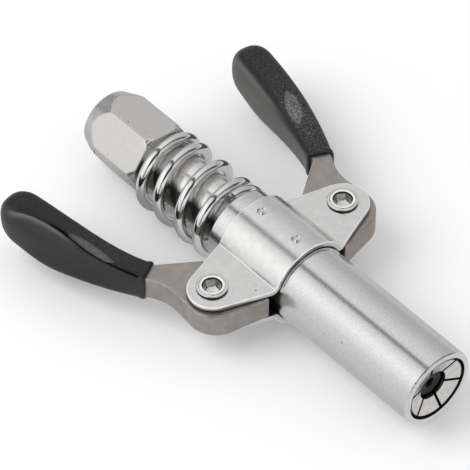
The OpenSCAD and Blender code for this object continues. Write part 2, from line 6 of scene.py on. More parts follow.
import bmesh
import bpy
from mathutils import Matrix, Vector

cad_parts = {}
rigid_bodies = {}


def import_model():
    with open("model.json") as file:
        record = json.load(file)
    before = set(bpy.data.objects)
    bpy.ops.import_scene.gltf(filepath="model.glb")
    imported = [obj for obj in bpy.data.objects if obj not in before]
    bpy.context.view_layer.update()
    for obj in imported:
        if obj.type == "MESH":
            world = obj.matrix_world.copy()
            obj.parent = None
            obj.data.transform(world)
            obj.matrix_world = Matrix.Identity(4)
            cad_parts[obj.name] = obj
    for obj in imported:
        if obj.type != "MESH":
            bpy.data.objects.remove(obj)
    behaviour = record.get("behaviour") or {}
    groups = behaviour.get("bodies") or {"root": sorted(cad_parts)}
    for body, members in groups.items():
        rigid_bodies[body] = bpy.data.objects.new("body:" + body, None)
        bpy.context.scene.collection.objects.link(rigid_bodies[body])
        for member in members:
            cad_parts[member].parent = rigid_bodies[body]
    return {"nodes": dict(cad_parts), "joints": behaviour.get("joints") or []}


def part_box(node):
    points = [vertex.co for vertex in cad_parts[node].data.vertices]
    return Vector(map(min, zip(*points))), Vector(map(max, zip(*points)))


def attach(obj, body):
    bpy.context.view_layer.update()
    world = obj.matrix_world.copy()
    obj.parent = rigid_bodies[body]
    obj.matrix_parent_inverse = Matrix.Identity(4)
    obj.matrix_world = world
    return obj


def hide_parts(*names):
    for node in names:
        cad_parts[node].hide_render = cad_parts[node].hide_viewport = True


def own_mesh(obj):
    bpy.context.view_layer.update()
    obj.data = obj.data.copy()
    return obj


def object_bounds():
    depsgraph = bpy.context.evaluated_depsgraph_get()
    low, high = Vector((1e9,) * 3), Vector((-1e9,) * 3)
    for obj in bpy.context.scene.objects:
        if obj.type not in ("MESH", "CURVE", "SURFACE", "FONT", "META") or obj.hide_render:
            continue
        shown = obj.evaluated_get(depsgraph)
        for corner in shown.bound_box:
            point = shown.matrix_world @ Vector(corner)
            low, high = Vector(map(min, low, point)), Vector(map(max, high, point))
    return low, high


bl_info = {
    "name": "Grease coupler",
    "version": (1, 0, 0),
    "blender": (4, 5, 0),
    "location": "View3D > Sidebar > Coupler",
    "description": "Builds the looks of a quick-release grease coupler on its packed solids",
    "category": "Object",
}

for left_over in list(bpy.data.objects):
    bpy.data.objects.remove(left_over)
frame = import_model()
CAD_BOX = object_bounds()

MM = 0.001
MICRON = 0.001 * MM
SEAL_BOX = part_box("nozzle_seal")
COIL_BOXES = {node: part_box(node) for node in ("main_spring", "seal_spring", "ball_spring")}
PIVOT = next(Vector(j["pos_m"]) for j in frame["joints"] if j["name"] == "left_lever_pivot")
SIDES = (("left", 1), ("right", -1))


# ---------------------------------------------------------------- settings


def colour(code):
    """Linear colour of an sRGB hex code."""
    parts = [int(code[i:i + 2], 16) / 255 for i in (1, 3, 5)]
    return [p / 12.92 if p <= 0.04045 else ((p + 0.055) / 1.055) ** 2.4 for p in parts] + [1]


# dark and light, smoothest and roughest, shine
RUBBERS = {
    # smooth moulded nitrile of the seal: satin, dark grey where it is worn
    "moulded_nitrile_rubber": ("#0C0C0C", "#242423", 0.4, 0.6, 0.4),
    # painted shade in the groove of a grip: dull, nearly black
    "groove_shade_rubber": ("#070707", "#101010", 0.7, 0.9, 0.08),
}
# light and dark, roughness, cloud, grain, depth, metallic, and for some pits, waves and the level
# of Y below which a painted shade darkens it; real grain is finer than 0.3 mm, and is drawn that
# coarse so that it shows
METALS = {
    # zinc plate over milled steel: soft satin with a fine tumbled grain and a few pits
    "zinc_plated_hex": ("#E0DEDC", "#DCD9D7", 0.28, 0.8, (0.5, 0.5, 0.5), 0.2, 1, 0.22, 4),
    # ground bar: bright, with rings left by the wheel, and darker along one side as painted shade
    "ground_bar_steel": ("#F6F4F2", "#DEDCDA", 0.15, 2, (0.5, 9, 9), 1.5, 0.7, 0, 0, -4.3),
    # bright plate on drawn wire: sharp reflections with a trace of the die
    "bright_plated_wire": ("#F2F2F1", "#E6E6E5", 0.07, 3, (2, 2, 2), 0.6, 1),
    # polished barrel, then chromed: soft reflections, finely grained and a little wavy
    "brushed_chrome_sleeve": ("#E9E8E8", "#DCDBDA", 0.2, 0.4, (0.3, 0.3, 0.3), 1.0, 1, 0.08, 9),
    # plated sheet: even satin with faint rolling flecks and a few pits
    "satin_plated_sheet": ("#EEEEED", "#E6E6E5", 0.23, 1.5, (0.35, 0.35, 0.35), 1.0, 1, 0.22, 9),
    # painted highlight: a pale, nearly matte metal on the upper edges of the sheet and on a rivet's
    # crest and the floor of its hole
    "painted_highlight_metal": ("#FAFAF9", "#EDEDEC", 0.38, 1.5, (0.4, 0.4, 0.4), 2.0, 0.35),
    # bright nickel on a rolled rivet
    "bright_nickel_rivet": ("#F0EFED", "#E2E0DC", 0.1, 2, (0.8, 0.8, 0.8), 1.5, 1),
    # drawn bore of a rivet: dull, and toned darker than its rim as painted shade in the hole
    "drawn_rivet_bore": ("#DEDCD9", "#B6B4B1", 0.24, 0.6, (0.3, 0.3, 0.3), 2, 1),
    # pressed and sintered powder: warm grey, satin and finely granular
    "sintered_lever_steel": ("#B2AAA5", "#A19993", 0.42, 2.0, (0.3, 0.3, 0.3), 8, 0.85),
    # the same metal rubbed along its edges
    "worn_lever_edge": ("#BDB6B0", "#A39B95", 0.34, 1.0, (0.4, 0.4, 0.4), 6, 0.9),
    # hardened and turned: fine rings, slightly warm
    "hardened_jaw_steel": ("#E6E4E2", "#D4D1CE", 0.24, 1, (0.4, 3, 3), 2, 1),
    # painted shade: dark steel put on the sleeve's bore, the lower edges of the plates, the gaps of
    # the rivets and the insides and edges of the jaws, where shade falls
    "painted_shade_steel": ("#2E2C2B", "#1C1B1A", 0.45, 2, (0.4, 0.4, 0.4), 4, 0.6),
    # turned brass of the piston and its seat
    "turned_brass": ("#DCC48A", "#C9AE6C", 0.25, 2, (0.3, 5, 5), 3, 1),
    # ground bearing ball
    "polished_ball_steel": ("#ECECEB", "#E0E0DF", 0.06, 2, (1, 1, 1), 0.5, 1),
}
COLOURS = {"dipped_black_rubber": "#2C2C2C"}
for table in (RUBBERS, METALS):
    COLOURS.update((name, row[0]) for name, row in table.items())


class CouplerColours(bpy.types.PropertyGroup):
    """Main colour of each finish."""

    __annotations__ = {
        finish_name: bpy.props.FloatVectorProperty(
            name=finish_name.replace("_", " ").capitalize(),
            description="Main colour of the " + finish_name.replace("_", " "),
            default=colour(code), size=4, subtype="COLOR")
        for finish_name, code in COLOURS.items()}


class CouplerSizes(bpy.types.PropertyGroup):
    """Lengths that the looks add to those of the solids."""

    edge_break: bpy.props.FloatProperty(
        name="Edge break", description="Width of the broken edges of turned and milled pieces",
        default=0.14 * MM, unit="LENGTH", precision=6)
    jaw_edge: bpy.props.FloatProperty(
        name="Jaw edge", description="Width of the stoned edges of the jaws",
        default=0.09 * MM, unit="LENGTH", precision=6)
    lever_edge: bpy.props.FloatProperty(
        name="Lever edge", description="Width of the tumbled edges of the levers",
        default=0.32 * MM, unit="LENGTH", precision=6)
    plate_edge: bpy.props.FloatProperty(
        name="Plate edge", description="Width of the rolled edges of the pressed plates",
        default=0.2 * MM, unit="LENGTH", precision=6)
    thread_pitch: bpy.props.FloatProperty(
        name="Thread pitch", description="Pitch of the pipe thread in the inlet",
        default=0.907 * MM, unit="LENGTH", precision=6)
    thread_depth: bpy.props.FloatProperty(
        name="Thread depth", description="Depth of the pipe thread in the inlet",
        default=0.55 * MM, unit="LENGTH", precision=6)
    recess_depth: bpy.props.FloatProperty(
        name="Recess depth", description="Depth of the thumb recess in a grip",
        default=0.3 * MM, unit="LENGTH", precision=6)
    groove_depth: bpy.props.FloatProperty(
        name="Groove depth", description="Depth of the parting groove on a grip",
        default=0.7 * MM, unit="LENGTH", precision=6)
    crest: bpy.props.FloatProperty(
        name="Crest", description="Height of the soft ridge beside the groove",
        default=0.3 * MM, unit="LENGTH", precision=6)


class CouplerStage(bpy.types.PropertyGroup):
    """Camera and light of the product picture."""

    camera_place: bpy.props.FloatVectorProperty(
        name="Camera place", description="Where the camera stands",
        default=(0.37647, -0.30173, 0.48882), subtype="TRANSLATION")
    camera_azimuth: bpy.props.FloatProperty(
        name="Azimuth", description="Turn of the camera about the vertical",
        default=math.radians(48.34), subtype="ANGLE")
    camera_elevation: bpy.props.FloatProperty(
        name="Elevation", description="How steeply the camera looks down",
        default=math.radians(47.33), subtype="ANGLE")
    camera_lens: bpy.props.FloatProperty(
        name="Lens", description="Focal length in millimetres on a 36 mm frame", default=269.25)
    key_power: bpy.props.FloatProperty(
        name="Key power", description="Power of the large soft light", default=3.8, subtype="POWER")
    sky_level: bpy.props.FloatProperty(
        name="Sky level", description="Strength of the even white light all round", default=0.78)


# ---------------------------------------------------------------- finishes


def add(tree, kind, inputs=(), stops=(), **settings):
    """Adds a node. Settings are its properties, and inputs, by name or in a row in the order of its
    sockets, are values, sockets, or nodes, which link by their first output. Stops are places and
    grey levels of a ramp."""
    node = tree.nodes.new(kind)
    for name, value in settings.items():
        setattr(node, name, value)
    if isinstance(inputs, dict):
        pairs = [(node.inputs[name], value) for name, value in inputs.items()]
    else:
        pairs = list(zip((socket for socket in node.inputs if socket.enabled), inputs))
    for socket, value in pairs:
        if isinstance(value, bpy.types.Node):
            value = next(output for output in value.outputs if output.enabled)
        if isinstance(value, bpy.types.NodeSocket):
            tree.links.new(value, socket)
        else:
            socket.default_value = value
    for _ in stops[2:]:
        node.color_ramp.elements.new(0.5)
    for i, (position, level) in enumerate(stops):
        stop = node.color_ramp.elements[i]
        stop.position, stop.color = position, (level, level, level, 1)
    return node


def new_material(name):
    """A new material; gives it, its empty tree and the Object coordinates there."""
    made = bpy.data.materials.new(name)
    made.use_nodes = True
    made.node_tree.nodes.clear()
    return made, made.node_tree, add(made.node_tree, "ShaderNodeTexCoord").outputs["Object"]


def cover(tree, shader, inputs):
    """Ends the tree of a material with a shader of that kind."""
    add(tree, "ShaderNodeOutputMaterial", {"Surface": add(tree, shader, inputs)})


def metal(name, light, dark, roughness, cloud, grain, depth, metallic, pits=0, waves=0, shade_below=-1000):
    """A metal whose tone clouds over `cloud` mm, whose gloss is broken by a grain of `grain` mm
    along X, Y and Z, `depth` micrometres deep, which has a share of `pits`, is `waves` micrometres
    uneven and is darker where Y is less than `shade_below` mm, a painted shade."""
    low, high = 0.3, 0.7  # nearly all of a noise lies between these
    wave_length, pit_spacing, shade_edge = 3 * MM, 2.2 * MM, 0.4
    made, tree, place = new_material(name)
    clouds = add(tree, "ShaderNodeTexNoise", (place, 1 / (cloud * MM), 4.0))
    lit = add(tree, "ShaderNodeMapRange", (clouds, low, high))
    spread = add(tree, "ShaderNodeMapping", {
        "Vector": place, "Scale": [1 / (size * MM) for size in grain]})
    marks = add(tree, "ShaderNodeTexNoise", (spread, 1.0, 2.0))
    gloss = add(tree, "ShaderNodeMapRange", (
        marks, low, high, roughness * 0.85, roughness * 1.15))
    hills = add(tree, "ShaderNodeTexNoise", (place, 1 / wave_length, 2.0))
    uneven = add(tree, "ShaderNodeBump", {"Height": hills, "Distance": waves * MICRON})
    bump = add(tree, "ShaderNodeBump", {
        "Height": marks, "Distance": depth * MICRON, "Normal": uneven})
    cells = add(tree, "ShaderNodeTexVoronoi", (place, 1 / pit_spacing))
    near = add(tree, "ShaderNodeMapRange", (cells, 0.05, 0.09, 1.0, 0.0))
    lot = add(tree, "ShaderNodeSeparateColor", (cells.outputs["Color"],))
    drawn = add(tree, "ShaderNodeMath", (lot, pits), operation="LESS_THAN")
    pitted = add(tree, "ShaderNodeMath", (near, drawn), operation="MULTIPLY")
    across = add(tree, "ShaderNodeSeparateXYZ", (place,)).outputs["Y"]
    painted_shade = add(tree, "ShaderNodeMapRange", (
        across, (shade_below - shade_edge) * MM, (shade_below + shade_edge) * MM, 1.0, 0.0))
    tone = colour(dark)
    # the last mix is a painted shade: darker where Y is low
    for share, over in ((lit, light), (pitted, colour("#4A4745")), (painted_shade, colour("#4E4B48"))):
        tone = add(tree, "ShaderNodeMix", (share, tone, over), data_type="RGBA")
    cover(tree, "ShaderNodeBsdfPrincipled", {
        "Base Color": tone, "Metallic": metallic, "Roughness": gloss, "Normal": bump})
    return made


def dipped_rubber(name, flank):
    """Black dipped rubber: smooth satin flanks, paler toward +Y on the left grip as painted light,
    a pale painted highlight along a ridge and on one flank of the left grip, a crown with a
    leathery grain and pale dust, thicker on the left grip, and a paler, rougher thumb recess."""
    made, tree, place = new_material(name)
    crown, dusted, hollow, painted_highlight = (
        add(tree, "ShaderNodeAttribute", attribute_name=mark).outputs["Fac"]
        for mark in ("crown", "dust", "recess", "painted_highlight"))
    across = add(tree, "ShaderNodeSeparateXYZ", (place,)).outputs["Y"]
    # painted light: the flanks grow paler toward +Y, so the left grip is lighter than the right;
    # the dust there is thicker too
    side = add(tree, "ShaderNodeMapRange", (across, -20 * MM, 20 * MM, 0.25, 1.0))
    grain = add(tree, "ShaderNodeTexNoise", (place, 1 / (0.45 * MM), 3.0))
    dust = add(tree, "ShaderNodeTexNoise", (place, 1 / (0.32 * MM), 2.0))
    fleck = add(tree, "ShaderNodeMapRange", (dust, 0.47, 0.7))
    spread = add(tree, "ShaderNodeMath", (fleck, side), operation="MULTIPLY")
    shown = add(tree, "ShaderNodeMath", (spread, dusted), operation="MULTIPLY")
    floor = add(tree, "ShaderNodeMix", (
        spread, colour("#4C4C4B"), colour("#8A8A87")), data_type="RGBA")
    tone = colour("#1E1E1E")
    # the pale mix after the flank colour is a painted highlight on a ridge and on one flank of the
    # left grip
    for share, over in ((side, flank), (painted_highlight, colour("#5C5C5A")), (crown, colour("#131313")),
                        (shown, colour("#636361")), (hollow, floor)):
        tone = add(tree, "ShaderNodeMix", (share, tone, over), data_type="RGBA")
    gloss = 0.36
    for share, rougher in ((crown, 0.46), (hollow, 0.65)):
        gloss = add(tree, "ShaderNodeMix", (share, gloss, rougher), data_type="FLOAT")
    depth = add(tree, "ShaderNodeMath", (crown, 0.5), operation="MULTIPLY")
    bump = add(tree, "ShaderNodeBump", {
        "Strength": depth, "Height": grain, "Distance": 60 * MICRON})
    cover(tree, "ShaderNodeBsdfPrincipled", {
        "Base Color": tone, "IOR": 1.5, "Specular IOR Level": 0.46, "Roughness": gloss,
        "Normal": bump})
    return made


def plain_rubber(name, dark, light, smooth, rough, shine):
    """Plain black rubber, a little worn and greyer in places."""
    made, tree, place = new_material(name)
    wear = add(tree, "ShaderNodeTexNoise", (place, 1 / (0.8 * MM), 3.0))
    tone = add(tree, "ShaderNodeMix", (wear, dark, colour(light)), data_type="RGBA")
    gloss = add(tree, "ShaderNodeMapRange", (wear, 0.0, 1.0, smooth, rough))
    cover(tree, "ShaderNodeBsdfPrincipled", {
        "Base Color": tone, "IOR": 1.52, "Specular IOR Level": shine, "Roughness": gloss})
    return made


def finish(name):
    """The material of that name, made at its first use."""
    known = bpy.data.materials.get(name)
    if known:
        return known
    main = getattr(bpy.context.scene.coupler_colours, name)
    if name in METALS:
        return metal(name, main, *METALS[name][1:])
    if name in RUBBERS:
        return plain_rubber(name, main, *RUBBERS[name][1:])
    return dipped_rubber(name, main)


# ---------------------------------------------------------------- meshes


def skin(bm, rings, loop=False):
    """Faces between neighbouring rings of corners; a ring of one corner is a pole."""
    pairs = list(zip(rings, rings[1:])) + ([(rings[-1], rings[0])] if loop else [])
    for near, far in pairs:
        count = max(len(near), len(far))
        for i in range(count):
            j = (i + 1) % count
            corners = [ring[k % len(ring)]
                       for ring, k in ((near, i), (near, j), (far, j), (far, i))]
            bm.faces.new(list(dict.fromkeys(corners)))
    bmesh.ops.recalc_face_normals(bm, faces=bm.faces)


def lathe(profile, sides, place, lobes=6):
    """A turned surface from rows of (along, radius, flute): poles close it, else it is a loop."""
    bm = bmesh.new()
    rings = []
    for along, radius, flute in profile:
        ring = []
        for i in range(sides if radius else 1):
            turn = math.tau * i / sides
            out = (radius + flute * math.cos(lobes * turn)) * MM
            ring.append(bm.verts.new(place(along * MM, out * math.cos(turn), out * math.sin(turn))))
        rings.append(ring)
    skin(bm, rings, loop=len(rings[0]) > 1)
    return bm


def cad_copy(node):
    """The mesh of a solid with its corners joined and its flat faces whole."""
    bm = bmesh.new()
    bm.from_mesh(frame["nodes"][node].data)
    bmesh.ops.remove_doubles(bm, verts=bm.verts, dist=MICRON)
    bmesh.ops.dissolve_limit(bm, angle_limit=math.radians(0.5), verts=bm.verts, edges=bm.edges)
    return bm


def stand(name, bm):
    """A new object in the scene of a mesh that is then done with."""
    mesh = bpy.data.meshes.new(name)
    bm.to_mesh(mesh)
    bm.free()
    made = bpy.data.objects.new(name, mesh)
    bpy.context.scene.collection.objects.link(made)
    return made


def settle(name, bm, finishes, body, slot, *stands_for, pick=None):
    """Makes a smooth piece of a mesh and hands it to its body; `pick` says which finish a face
    takes, where its faces don't know yet."""
    if pick:
        for face in bm.faces:
            face.material_index = pick(face)
    piece = stand(name, bm)
    mesh = piece.data
    if "custom_normal" in mesh.attributes:
        mesh.attributes.remove(mesh.attributes["custom_normal"])
    for each in finishes:
        mesh.materials.append(finish(each))
    mesh.shade_smooth()
    if stands_for:
        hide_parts(*stands_for)
    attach(piece, body)
    return piece


def bake(piece):
    """Turns what the modifiers of a piece make into its mesh, without faces that have no area."""
    graph = bpy.context.evaluated_depsgraph_get()
    made = bpy.data.meshes.new_from_object(piece.evaluated_get(graph))
    piece.modifiers.clear()
    bm = bmesh.new()
    bm.from_mesh(made)
    bmesh.ops.dissolve_degenerate(bm, dist=0.5 * MICRON, edges=bm.edges)
    bm.to_mesh(made)
    bm.free()
    piece.data = made
    made.shade_smooth()


def break_edges(piece, width, angle, worn=-1):
    """Rounds the edges of a piece and keeps its flat faces flat to the light."""
    bevel = piece.modifiers.new("Broken edges", "BEVEL")
    bevel.width = width
    bevel.segments = 3
    bevel.limit_method = "ANGLE"
    bevel.angle_limit = math.radians(angle)
    bevel.use_clamp_overlap = False
    # the new edge faces take the finish in slot worn: worn metal on a lever, the dark steel of a
    # painted shade on a jaw
    bevel.material = worn
    bake(piece)
    piece.modifiers.new("Flat faces", "WEIGHTED_NORMAL").keep_sharp = True


def dress(node, name):
    """Gives a solid that is shown as it is a finish."""
    frame["nodes"][node].material_slots[0].material = finish(name)


def node_tree(name, lengths, counts=()):
    """A Geometry Nodes tree with those named inputs and a material, and its input sockets."""
    tree = bpy.data.node_groups.new(name, "GeometryNodeTree")
    rows = [("Geometry", "NodeSocketGeometry")] + [(label, "NodeSocketFloat") for label in lengths]
    rows += [(label, "NodeSocketInt") for label in counts] + [("Material", "NodeSocketMaterial")]
    for label, kind in rows:
        tree.interface.new_socket(label, in_out="INPUT", socket_type=kind)
    tree.interface.new_socket("Geometry", in_out="OUTPUT", socket_type="NodeSocketGeometry")
    return tree, dict(add(tree, "NodeGroupInput").outputs.items())


def end_tree(tree, shape, values):
    """Ends a Geometry Nodes tree: its shape becomes real and takes the material."""
    real = add(tree, "GeometryNodeRealizeInstances", {"Geometry": shape})
    dressed = add(tree, "GeometryNodeSetMaterial", {
        "Geometry": real, "Material": values["Material"]})
    add(tree, "NodeGroupOutput", {"Geometry": dressed})
    return tree


def grow(name, tree, settings, material, body, slot, *stands_for):
    """A piece grown by a node tree with its inputs set, then baked."""
    piece = settle(name, bmesh.new(), (material,), body, slot, *stands_for)
    settings["Material"] = finish(material)
    modifier = piece.modifiers.new(tree.name, "NODES")
    modifier.node_group = tree
    for item in tree.interface.items_tree:
        if item.in_out == "INPUT" and item.name in settings:
            modifier[item.identifier] = settings[item.name]
    bake(piece)
    return piece


# ---------------------------------------------------------------- hex and inlet


def thread_tree():
    """A helical V thread on the wall of a tapered bore, from its rear mouth to its front."""
    tree, values = node_tree("Inlet thread", ("Start", "Length", "Root", "Depth", "Pitch", "Taper"))
    grid = add(tree, "GeometryNodeMeshGrid", (1.0, 1.0, 73, 121))
    where = add(tree, "ShaderNodeSeparateXYZ", (add(tree, "GeometryNodeInputPosition"),))
    values.update(u=where.outputs[0], v=where.outputs[1])
    for result, operation, first, second in (
            ("round", "ADD", "u", 0.5), ("down", "ADD", "v", 0.5),
            ("angle", "MULTIPLY", "round", math.tau),
            ("along", "MULTIPLY", "down", "Length"), ("x", "ADD", "along", "Start"),
            ("turns", "DIVIDE", "along", "Pitch"), ("phase", "ADD", "turns", "round"),
            ("saw", "FRACT", "phase", 0), ("twice", "MULTIPLY", "saw", 2),
            ("swing", "SUBTRACT", "twice", 1), ("fold", "ABSOLUTE", "swing", 0),
            ("height", "MULTIPLY", "fold", "Depth"),
            ("narrow", "MULTIPLY", "down", "Taper"), ("wall", "SUBTRACT", "Root", "narrow"),
            ("radius", "SUBTRACT", "wall", "height"),
            ("cos", "COSINE", "angle", 0), ("sin", "SINE", "angle", 0),
            ("y", "MULTIPLY", "radius", "cos"), ("z", "MULTIPLY", "radius", "sin")):
        values[result] = add(tree, "ShaderNodeMath", (
            values.get(first, first), values.get(second, second)), operation=operation)
    spot = add(tree, "ShaderNodeCombineXYZ", [values[axis] for axis in "xyz"])
    wall = add(tree, "GeometryNodeSetPosition", {"Geometry": grid, "Position": spot})
    seam = add(tree, "GeometryNodeMergeByDistance", {"Geometry": wall, "Distance": MICRON})
    return end_tree(tree, seam, values)


class COUPLER_OT_inlet(bpy.types.Operator):
    """Builds the hex inlet with its broken edges and its pipe thread"""

    bl_idname = "coupler.inlet"
    bl_label = "Hex inlet"

    def execute(self, context):
        sizes = context.scene.coupler_sizes
        bore_radius, bore_length, gap = 4.3 * MM, 9.0 * MM, 0.02 * MM
        taper = bore_length / 16
        root_front = bore_radius + sizes.thread_depth
        bm = cad_copy("hex_adapter")
        for vert in bm.verts:
            radius = math.hypot(vert.co.y, vert.co.z)
            if abs(radius - bore_radius) < 0.1 * MM and vert.co.x < bore_length + 0.05 * MM:
                wide = (root_front + taper * (1 - vert.co.x / bore_length) + gap) / radius
                vert.co.y *= wide
                vert.co.z *= wide
        piece = settle("hex_inlet", bm, ("zinc_plated_hex",), "body", "hex_steel", "hex_adapter")
        piece.data.set_sharp_from_angle(angle=math.radians(12))
        break_edges(piece, 2 * sizes.edge_break, 22)
        thread = grow("inlet_thread", thread_tree(), {
            "Start": 0.15 * MM, "Length": bore_length - 0.2 * MM, "Root": root_front + taper,
            "Depth": sizes.thread_depth, "Pitch": sizes.thread_pitch, "Taper": taper},
            "zinc_plated_hex", "body", "hex_steel")
        first = thread.data.polygons[0]
        if first.normal.y * first.center.y + first.normal.z * first.center.z > 0:
            thread.data.flip_normals()
        wall = thread.modifiers.new("Wall", "SOLIDIFY")
        wall.thickness, wall.offset = 15 * MICRON, -1
        return {"FINISHED"}


# ---------------------------------------------------------------- springs


def coil_tree():
    """A compression spring of round wire about X with one closed turn at each end."""
    tree, values = node_tree("Coil spring", (
        "Rear", "Front", "Coil Radius", "Wire Radius", "Open Turns", "Start Angle",
        "Hang Y", "Hang Z"), ("Steps", "Sides"))
    line = add(tree, "GeometryNodeCurvePrimitiveLine")
    path = add(tree, "GeometryNodeResampleCurve", {
        "Curve": line, "Count": values["Steps"]}, mode="COUNT")
    values["share"] = add(tree, "GeometryNodeSplineParameter").outputs["Factor"]
    for result, operation, first, second in (
            ("whole", "ADD", "Open Turns", 2), ("turn", "MULTIPLY", "share", "whole"),
            ("wire", "MULTIPLY", "Wire Radius", 2), ("closed", "ADD", "wire", 0.05 * MM),
            ("ends", "MULTIPLY", "closed", 2), ("length", "SUBTRACT", "Front", "Rear"),
            ("clear", "SUBTRACT", "length", "wire"), ("room", "SUBTRACT", "clear", "ends"),
            ("pitch", "DIVIDE", "room", "Open Turns"),
            ("first", "MINIMUM", "turn", 1), ("past", "SUBTRACT", "turn", 1),
            ("after", "MAXIMUM", "past", 0), ("opened", "MINIMUM", "after", "Open Turns"),
            ("over", "SUBTRACT", "past", "Open Turns"), ("last", "MAXIMUM", "over", 0),
            ("shut", "ADD", "first", "last"), ("shut_x", "MULTIPLY", "shut", "closed"),
            ("open_x", "MULTIPLY", "opened", "pitch"), ("from_end", "ADD", "shut_x", "open_x"),
            ("from_face", "ADD", "from_end", "Wire Radius"), ("x", "ADD", "from_face", "Rear"),
            ("spun", "MULTIPLY", "turn", math.tau), ("angle", "ADD", "spun", "Start Angle"),
            ("cos", "COSINE", "angle", 0), ("sin", "SINE", "angle", 0),
            ("out_y", "MULTIPLY", "cos", "Coil Radius"), ("y", "ADD", "out_y", "Hang Y"),
            ("out_z", "MULTIPLY", "sin", "Coil Radius"), ("z", "ADD", "out_z", "Hang Z")):
        values[result] = add(tree, "ShaderNodeMath", (
            values.get(first, first), values.get(second, second)), operation=operation)
    spot = add(tree, "ShaderNodeCombineXYZ", [values[axis] for axis in "xyz"])
    helix = add(tree, "GeometryNodeSetPosition", {"Geometry": path, "Position": spot})
    ring = add(tree, "GeometryNodeCurvePrimitiveCircle", (
        values["Sides"], values["Wire Radius"]), mode="RADIUS")
    wire = add(tree, "GeometryNodeCurveToMesh", {
        "Curve": helix, "Profile Curve": ring, "Fill Caps": True})
    return end_tree(tree, wire, values)


class COUPLER_OT_springs(bpy.types.Operator):
    """Winds the main spring and the two small springs inside"""

    bl_idname = "coupler.springs"
    bl_label = "Springs"

    def execute(self, context):
        tree = coil_tree()
        hang = Vector((math.cos(math.radians(210)), math.sin(math.radians(210))))
        rows = (
            # node, coil and wire radius, open turns, start angle, how far the coil hangs off X,
            # steps along and sides of the wire, squashed by, fixed end, kept share of its length
            ("main_spring", 7.4, 1.13, 2.46, -75, 0.5, 420, 32, "sleeve_slide", 0, 0.84),
            ("seal_spring", 2.05, 0.25, 6, 0, 0, 200, 12, "seal_press", 0, 0.813),
            ("ball_spring", 1.4, 0.25, 3, 0, 0, 200, 12, "valve_lift", 1, 0.793),
        )
        for node, coil, wire, turns, start, off, steps, sides, joint, fixed, kept in rows:
            low, high = COIL_BOXES[node]
            piece = grow(node + "_wire", tree, {
                "Rear": low.x, "Front": high.x, "Coil Radius": coil * MM, "Wire Radius": wire * MM,
                "Open Turns": turns, "Start Angle": math.radians(start),
                "Hang Y": off * MM * hang.x, "Hang Z": off * MM * hang.y,
                "Steps": steps, "Sides": sides},
                "bright_plated_wire", "body", "spring_chrome", node)
            anchor = (high if fixed else low).copy()
            anchor.y = anchor.z = 0
            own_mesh(piece)
        return {"FINISHED"}


# ---------------------------------------------------------------- sleeve, shank and yoke plates


def faces_axis(face):
    """1 for a face of a bore, which looks toward the X axis."""
    middle = face.calc_center_median()
    out = Vector((0, middle.y, middle.z))
    return int(out.length > 0 and face.normal.dot(out.normalized()) < -0.3)


def faces_inside(face):
    """1 for a face of a jaw that looks neither out of the nose nor across the gripping lip."""
    middle, lip_radius = face.calc_center_median(), 3.2 * MM
    return int(face.normal.x < 0.3 and math.hypot(middle.y, middle.z) > lip_radius)


class COUPLER_OT_sleeve(bpy.types.Operator):
    """Finishes the chromed sleeve with broken edges and the ground shank behind it"""

    bl_idname = "coupler.sleeve"
    bl_label = "Sleeve and shank"

    def execute(self, context):
        # the faces of the bore take the dark steel of a painted shade
        piece = settle("chromed_sleeve", cad_copy("outer_sleeve"),
                       ("brushed_chrome_sleeve", "painted_shade_steel"),
                       "sleeve", "sleeve_chrome", "outer_sleeve", pick=faces_axis)
        break_edges(piece, context.scene.coupler_sizes.edge_break, 30)
        # the shank's steel darkens below a level of Y: painted shade
        dress("shank", "ground_bar_steel")
        return {"FINISHED"}


class PlateSection:
    """The bent section of a yoke plate: arch over the sleeve, bend, flat wing (lengths in mm)."""

    thickness = 1.2
    arch_r = 9.2
    bend_r = 0.45
    wing_top = 3.85
    reach = 21.48
    rear, front = -7.4, 8.6
    root, ear_r, ear_ahead, corner_r = 8.3, 5.0, 0.3, 1.0

    def __init__(self):
        far = self.arch_r + self.bend_r
        self.bend_z = self.wing_top + self.bend_r
        self.bend_y = math.sqrt(far ** 2 - self.bend_z ** 2)
        self.turn = math.acos(self.bend_z / far)
        self.arch_end = self.arch_r * self.turn
        self.bend_end = self.arch_end + self.bend_r * self.turn

    def point(self, run, down):
        """Place (y, z) at a run along the top face from the crown, sunk into the sheet."""
        side, run = math.copysign(1, run), abs(run)
        if run < self.arch_end:
            lean = run / self.arch_r
            y, z = self.arch_r * math.sin(lean), self.arch_r * math.cos(lean)
        elif run < self.bend_end:
            lean = self.turn - (run - self.arch_end) / self.bend_r
            y = self.bend_y - self.bend_r * math.sin(lean)
            z = self.bend_z - self.bend_r * math.cos(lean)
        else:
            lean, y, z = 0.0, self.bend_y + run - self.bend_end, self.wing_top
        return side * (y + down * math.sin(lean)), z + down * math.cos(lean)

    def outline(self):
        """Corners (x, run) of the flat blank, x from the pivot, in order round it."""
        shift = self.bend_end - self.bend_y
        ear = Vector((self.ear_ahead, self.reach - self.ear_r))
        half = [Vector((self.front, self.root))]
        starts = []
        for x, sign in ((self.front, -1), (self.rear, 1)):
            gap = Vector((x, self.root)) - ear
            spread = math.acos(self.ear_r / gap.length)
            starts.append(math.atan2(gap.y, gap.x) - sign * spread)
        first, last = starts
        while last < first:
            last += math.tau
        steps = 32
        for i in range(steps + 1):
            turn = first + (last - first) * i / steps
            half.append(ear + self.ear_r * Vector((math.cos(turn), math.sin(turn))))
        half.append(Vector((self.rear, self.root)))
        half = [Vector((p.x, p.y + shift)) for p in half]
        return half + [Vector((p.x, -p.y)) for p in reversed(half)]


